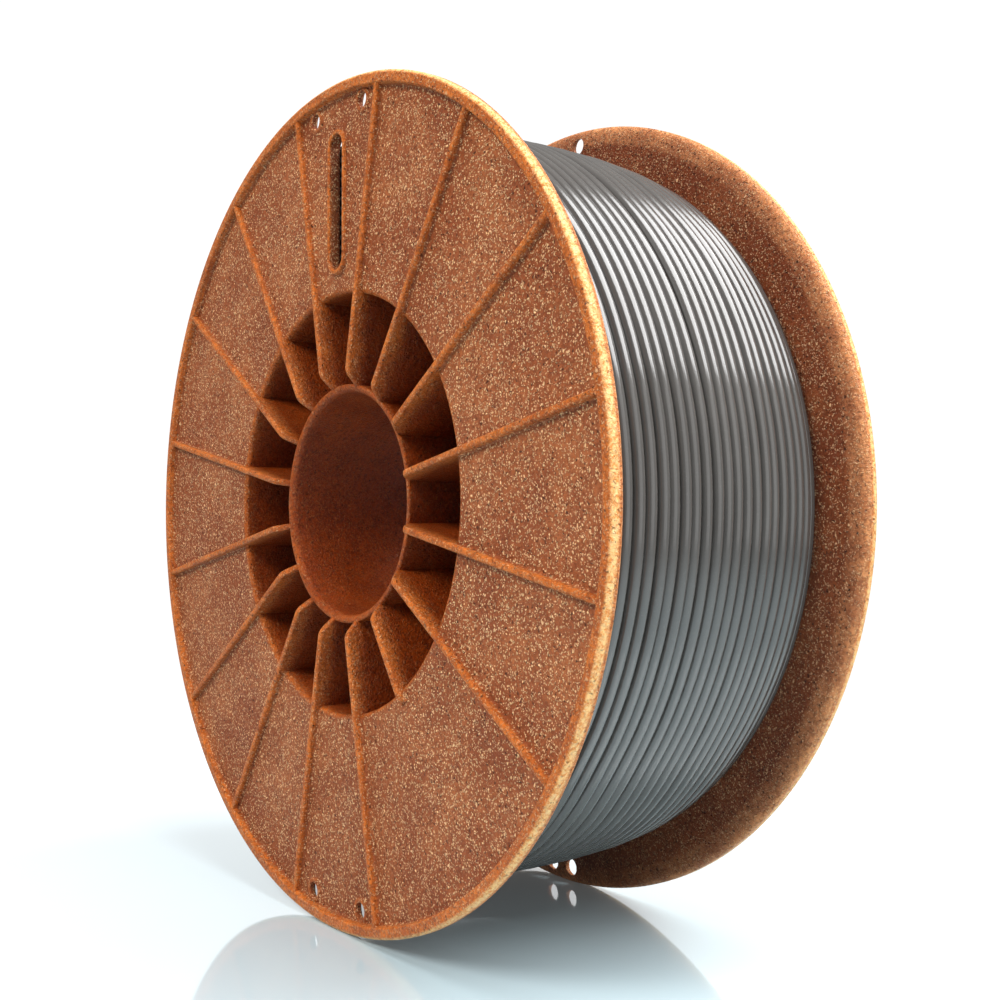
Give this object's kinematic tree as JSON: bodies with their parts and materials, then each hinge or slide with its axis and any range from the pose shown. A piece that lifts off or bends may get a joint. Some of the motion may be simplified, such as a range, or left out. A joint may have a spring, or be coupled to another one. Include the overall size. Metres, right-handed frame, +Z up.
{
  "type": "filament spool",
  "caption": "Flanged plastic spool with radial ribs, a wide finned hub round a plain bore and a sight slot, wound nearly full with thick printer filament.",
  "frame": {"origin": "middle of the bore, halfway between the two flanges", "axes": "+Y along the spool's axis, from the front flange to the rear flange; +Z up, towards the sight slot; the spool stands on its two rims"},
  "size_m": [0.2, 0.0746, 0.2],
  "materials": {
    "spool_plastic": "satin copper-brown recycled plastic with fine bright and dark flecks",
    "filament": "glossy mid-grey"
  },
  "bodies": {
    "root": {"front_half": "spool_plastic", "rear_half": "spool_plastic", "filament_layer_01": "filament", "filament_layer_02": "filament", "filament_layer_03": "filament", "filament_layer_04": "filament", "filament_layer_05": "filament", "filament_layer_06": "filament", "filament_layer_07": "filament", "filament_layer_08": "filament", "filament_layer_09": "filament", "filament_layer_10": "filament", "filament_layer_11": "filament", "filament_layer_12": "filament", "filament_layer_13": "filament", "filament_layer_14": "filament", "filament_layer_15": "filament"}
  },
  "joints": []
}
